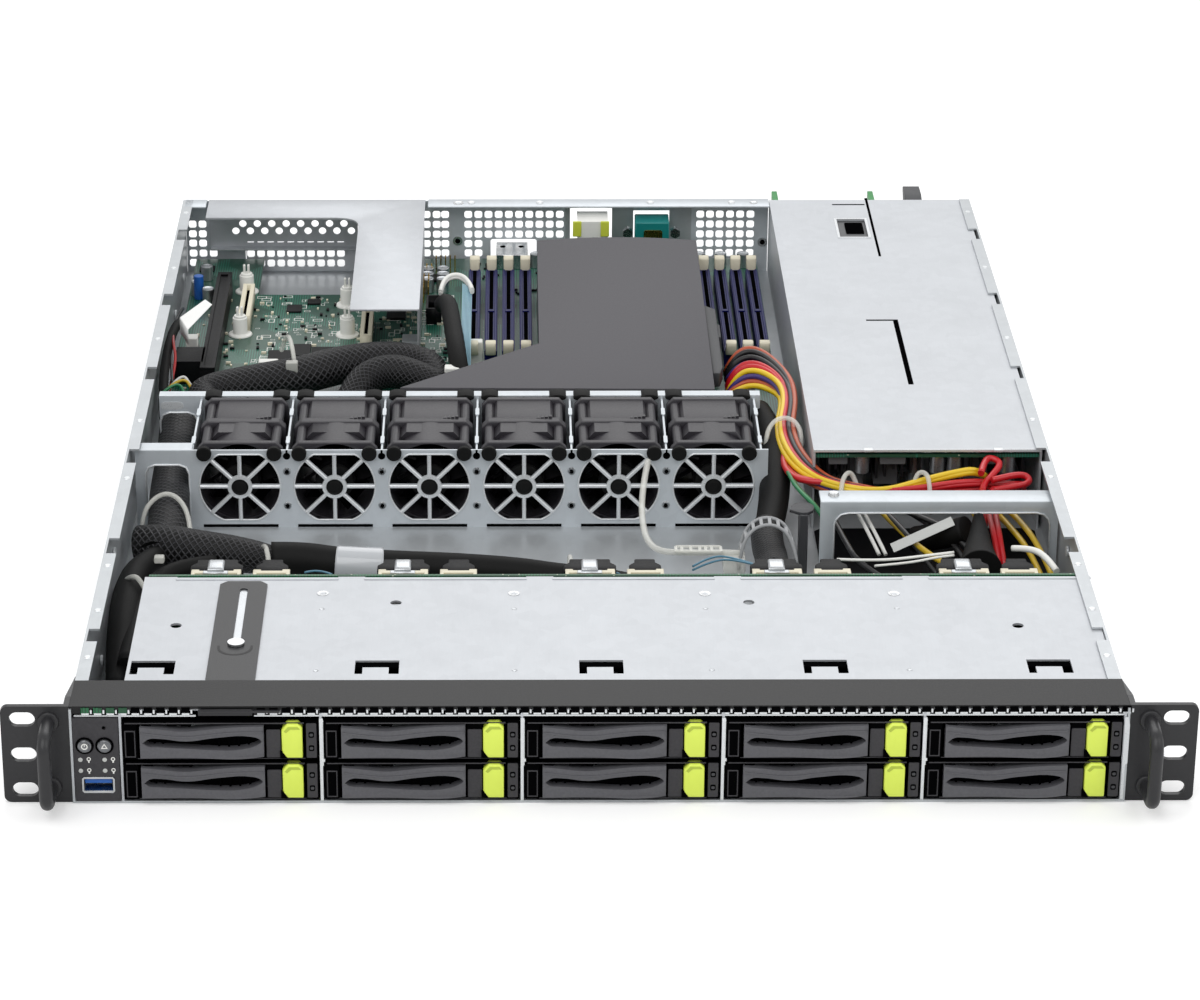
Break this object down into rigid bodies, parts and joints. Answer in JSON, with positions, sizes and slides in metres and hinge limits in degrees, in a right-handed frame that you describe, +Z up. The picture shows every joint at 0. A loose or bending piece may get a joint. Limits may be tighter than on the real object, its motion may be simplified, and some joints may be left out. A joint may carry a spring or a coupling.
{
  "type": "rack server",
  "caption": "Open-topped one-unit rack server: front drive bays, a wall of fans, main board under an air duct, and plug-in power modules.",
  "frame": {"origin": "on the underside, midway across, in the plane of the rack ears' front faces", "axes": "+X to the right seen from the front, +Y from the front towards the rear, +Z up"},
  "size_m": [0.4826, 0.6638, 0.0434],
  "materials": {
    "zinc": "satin",
    "light_steel": "satin",
    "black_sheet": "satin",
    "dark_plastic": "matt",
    "fan_plastic": "matt",
    "green_latch": "satin",
    "board_green": "satin",
    "duct_grey": "matt",
    "cable_sleeve": "matt",
    "cable_red": "satin",
    "button_metal": "satin",
    "tab_green": "satin"
  },
  "bodies": {
    "chassis": {"backplane": "board_green", "chassis_tray": "zinc", "control_panel": "dark_plastic", "cross_bracket": "zinc", "drive_cage": "light_steel", "ear_handles": "black_sheet", "fan_bracket": "zinc", "fan_housings": "fan_plastic", "front_top_cover": "black_sheet", "motherboard": "board_green", "power_harness": "cable_red", "psu_cage": "light_steel", "rack_ears": "black_sheet", "rear_panel": "zinc", "riser_bracket": "light_steel", "signal_harness": "cable_sleeve"},
    "carrier_1": {"drive_carrier_1": "dark_plastic"},
    "lever_1": {"drive_lever_1": "dark_plastic"},
    "latch_1": {"drive_latch_1": "green_latch"},
    "carrier_2": {"drive_carrier_2": "dark_plastic"},
    "lever_2": {"drive_lever_2": "dark_plastic"},
    "latch_2": {"drive_latch_2": "green_latch"},
    "carrier_3": {"drive_carrier_3": "dark_plastic"},
    "lever_3": {"drive_lever_3": "dark_plastic"},
    "latch_3": {"drive_latch_3": "green_latch"},
    "carrier_4": {"drive_carrier_4": "dark_plastic"},
    "lever_4": {"drive_lever_4": "dark_plastic"},
    "latch_4": {"drive_latch_4": "green_latch"},
    "carrier_5": {"drive_carrier_5": "dark_plastic"},
    "lever_5": {"drive_lever_5": "dark_plastic"},
    "latch_5": {"drive_latch_5": "green_latch"},
    "carrier_6": {"drive_carrier_6": "dark_plastic"},
    "lever_6": {"drive_lever_6": "dark_plastic"},
    "latch_6": {"drive_latch_6": "green_latch"},
    "carrier_7": {"drive_carrier_7": "dark_plastic"},
    "lever_7": {"drive_lever_7": "dark_plastic"},
    "latch_7": {"drive_latch_7": "green_latch"},
    "carrier_8": {"drive_carrier_8": "dark_plastic"},
    "lever_8": {"drive_lever_8": "dark_plastic"},
    "latch_8": {"drive_latch_8": "green_latch"},
    "carrier_9": {"drive_carrier_9": "dark_plastic"},
    "lever_9": {"drive_lever_9": "dark_plastic"},
    "latch_9": {"drive_latch_9": "green_latch"},
    "carrier_10": {"drive_carrier_10": "dark_plastic"},
    "lever_10": {"drive_lever_10": "dark_plastic"},
    "latch_10": {"drive_latch_10": "green_latch"},
    "rotor_1": {"fan_rotor_1": "fan_plastic"},
    "rotor_2": {"fan_rotor_2": "fan_plastic"},
    "rotor_3": {"fan_rotor_3": "fan_plastic"},
    "rotor_4": {"fan_rotor_4": "fan_plastic"},
    "rotor_5": {"fan_rotor_5": "fan_plastic"},
    "rotor_6": {"fan_rotor_6": "fan_plastic"},
    "power_button": {"power_button": "button_metal"},
    "locate_button": {"locate_button": "button_metal"},
    "info_tag": {"info_tag": "black_sheet"},
    "air_duct": {"air_duct": "duct_grey"},
    "power_module_1": {"psu_module_1": "zinc"},
    "power_latch_1": {"psu_latch_1": "tab_green"},
    "power_module_2": {"psu_module_2": "zinc"},
    "power_latch_2": {"psu_latch_2": "tab_green"}
  },
  "joints": [
    {"name": "carrier_slide_1", "type": "slide", "parent": "chassis", "child": "carrier_1", "axis": [0, -1, 0], "range_m": [0, 0.11]},
    {"name": "lever_hinge_1", "type": "hinge", "parent": "carrier_1", "child": "lever_1", "pos_m": [-0.1825, -0.0009, 0.0286], "axis": [0, 0, -1], "range_deg": [0, 50]},
    {"name": "latch_slide_1", "type": "slide", "parent": "carrier_1", "child": "latch_1", "axis": [1, 0, 0], "range_m": [0, 0.001], "stiffness_N_per_m": 300},
    {"name": "carrier_slide_2", "type": "slide", "parent": "chassis", "child": "carrier_2", "axis": [0, -1, 0], "range_m": [0, 0.11]},
    {"name": "lever_hinge_2", "type": "hinge", "parent": "carrier_2", "child": "lever_2", "pos_m": [-0.1014, -0.0009, 0.0286], "axis": [0, 0, -1], "range_deg": [0, 50]},
    {"name": "latch_slide_2", "type": "slide", "parent": "carrier_2", "child": "latch_2", "axis": [1, 0, 0], "range_m": [0, 0.001], "stiffness_N_per_m": 300},
    {"name": "carrier_slide_3", "type": "slide", "parent": "chassis", "child": "carrier_3", "axis": [0, -1, 0], "range_m": [0, 0.11]},
    {"name": "lever_hinge_3", "type": "hinge", "parent": "carrier_3", "child": "lever_3", "pos_m": [-0.0203, -0.0009, 0.0286], "axis": [0, 0, -1], "range_deg": [0, 50]},
    {"name": "latch_slide_3", "type": "slide", "parent": "carrier_3", "child": "latch_3", "axis": [1, 0, 0], "range_m": [0, 0.001], "stiffness_N_per_m": 300},
    {"name": "carrier_slide_4", "type": "slide", "parent": "chassis", "child": "carrier_4", "axis": [0, -1, 0], "range_m": [0, 0.11]},
    {"name": "lever_hinge_4", "type": "hinge", "parent": "carrier_4", "child": "lever_4", "pos_m": [0.0608, -0.0009, 0.0286], "axis": [0, 0, -1], "range_deg": [0, 50]},
    {"name": "latch_slide_4", "type": "slide", "parent": "carrier_4", "child": "latch_4", "axis": [1, 0, 0], "range_m": [0, 0.001], "stiffness_N_per_m": 300},
    {"name": "carrier_slide_5", "type": "slide", "parent": "chassis", "child": "carrier_5", "axis": [0, -1, 0], "range_m": [0, 0.11]},
    {"name": "lever_hinge_5", "type": "hinge", "parent": "carrier_5", "child": "lever_5", "pos_m": [0.1419, -0.0009, 0.0286], "axis": [0, 0, -1], "range_deg": [0, 50]},
    {"name": "latch_slide_5", "type": "slide", "parent": "carrier_5", "child": "latch_5", "axis": [1, 0, 0], "range_m": [0, 0.001], "stiffness_N_per_m": 300},
    {"name": "carrier_slide_6", "type": "slide", "parent": "chassis", "child": "carrier_6", "axis": [0, -1, 0], "range_m": [0, 0.11]},
    {"name": "lever_hinge_6", "type": "hinge", "parent": "carrier_6", "child": "lever_6", "pos_m": [-0.1825, -0.0009, 0.0104], "axis": [0, 0, -1], "range_deg": [0, 50]},
    {"name": "latch_slide_6", "type": "slide", "parent": "carrier_6", "child": "latch_6", "axis": [1, 0, 0], "range_m": [0, 0.001], "stiffness_N_per_m": 300},
    {"name": "carrier_slide_7", "type": "slide", "parent": "chassis", "child": "carrier_7", "axis": [0, -1, 0], "range_m": [0, 0.11]},
    {"name": "lever_hinge_7", "type": "hinge", "parent": "carrier_7", "child": "lever_7", "pos_m": [-0.1014, -0.0009, 0.0104], "axis": [0, 0, -1], "range_deg": [0, 50]},
    {"name": "latch_slide_7", "type": "slide", "parent": "carrier_7", "child": "latch_7", "axis": [1, 0, 0], "range_m": [0, 0.001], "stiffness_N_per_m": 300},
    {"name": "carrier_slide_8", "type": "slide", "parent": "chassis", "child": "carrier_8", "axis": [0, -1, 0], "range_m": [0, 0.11]},
    {"name": "lever_hinge_8", "type": "hinge", "parent": "carrier_8", "child": "lever_8", "pos_m": [-0.0203, -0.0009, 0.0104], "axis": [0, 0, -1], "range_deg": [0, 50]},
    {"name": "latch_slide_8", "type": "slide", "parent": "carrier_8", "child": "latch_8", "axis": [1, 0, 0], "range_m": [0, 0.001], "stiffness_N_per_m": 300},
    {"name": "carrier_slide_9", "type": "slide", "parent": "chassis", "child": "carrier_9", "axis": [0, -1, 0], "range_m": [0, 0.11]},
    {"name": "lever_hinge_9", "type": "hinge", "parent": "carrier_9", "child": "lever_9", "pos_m": [0.0608, -0.0009, 0.0104], "axis": [0, 0, -1], "range_deg": [0, 50]},
    {"name": "latch_slide_9", "type": "slide", "parent": "carrier_9", "child": "latch_9", "axis": [1, 0, 0], "range_m": [0, 0.001], "stiffness_N_per_m": 300},
    {"name": "carrier_slide_10", "type": "slide", "parent": "chassis", "child": "carrier_10", "axis": [0, -1, 0], "range_m": [0, 0.11]},
    {"name": "lever_hinge_10", "type": "hinge", "parent": "carrier_10", "child": "lever_10", "pos_m": [0.1419, -0.0009, 0.0104], "axis": [0, 0, -1], "range_deg": [0, 50]},
    {"name": "latch_slide_10", "type": "slide", "parent": "carrier_10", "child": "latch_10", "axis": [1, 0, 0], "range_m": [0, 0.001], "stiffness_N_per_m": 300},
    {"name": "rotor_spin_1", "type": "hinge", "parent": "chassis", "child": "rotor_1", "pos_m": [-0.162, 0.303, 0.0219], "axis": [0, 1, 0], "continuous": true},
    {"name": "rotor_spin_2", "type": "hinge", "parent": "chassis", "child": "rotor_2", "pos_m": [-0.11784, 0.303, 0.0219], "axis": [0, 1, 0], "continuous": true},
    {"name": "rotor_spin_3", "type": "hinge", "parent": "chassis", "child": "rotor_3", "pos_m": [-0.07368, 0.303, 0.0219], "axis": [0, 1, 0], "continuous": true},
    {"name": "rotor_spin_4", "type": "hinge", "parent": "chassis", "child": "rotor_4", "pos_m": [-0.02952, 0.303, 0.0219], "axis": [0, 1, 0], "continuous": true},
    {"name": "rotor_spin_5", "type": "hinge", "parent": "chassis", "child": "rotor_5", "pos_m": [0.01464, 0.303, 0.0219], "axis": [0, 1, 0], "continuous": true},
    {"name": "rotor_spin_6", "type": "hinge", "parent": "chassis", "child": "rotor_6", "pos_m": [0.0588, 0.303, 0.0219], "axis": [0, 1, 0], "continuous": true},
    {"name": "power_press", "type": "slide", "parent": "chassis", "child": "power_button", "axis": [0, 1, 0], "range_m": [0, 0.0008], "stiffness_N_per_m": 500},
    {"name": "locate_press", "type": "slide", "parent": "chassis", "child": "locate_button", "axis": [0, 1, 0], "range_m": [0, 0.0008], "stiffness_N_per_m": 500},
    {"name": "tag_slide", "type": "slide", "parent": "chassis", "child": "info_tag", "axis": [0, -1, 0], "range_m": [0, 0.05]},
    {"name": "duct_lift", "type": "slide", "parent": "chassis", "child": "air_duct", "axis": [0, 0, 1], "range_m": [0, 0.06]},
    {"name": "module_slide_1", "type": "slide", "parent": "chassis", "child": "power_module_1", "axis": [0, 1, 0], "range_m": [0, 0.25]},
    {"name": "module_latch_1", "type": "slide", "parent": "power_module_1", "child": "power_latch_1", "axis": [1, 0, 0], "range_m": [0, 0.003], "stiffness_N_per_m": 800},
    {"name": "module_slide_2", "type": "slide", "parent": "chassis", "child": "power_module_2", "axis": [0, 1, 0], "range_m": [0, 0.25]},
    {"name": "module_latch_2", "type": "slide", "parent": "power_module_2", "child": "power_latch_2", "axis": [1, 0, 0], "range_m": [0, 0.003], "stiffness_N_per_m": 800}
  ]
}
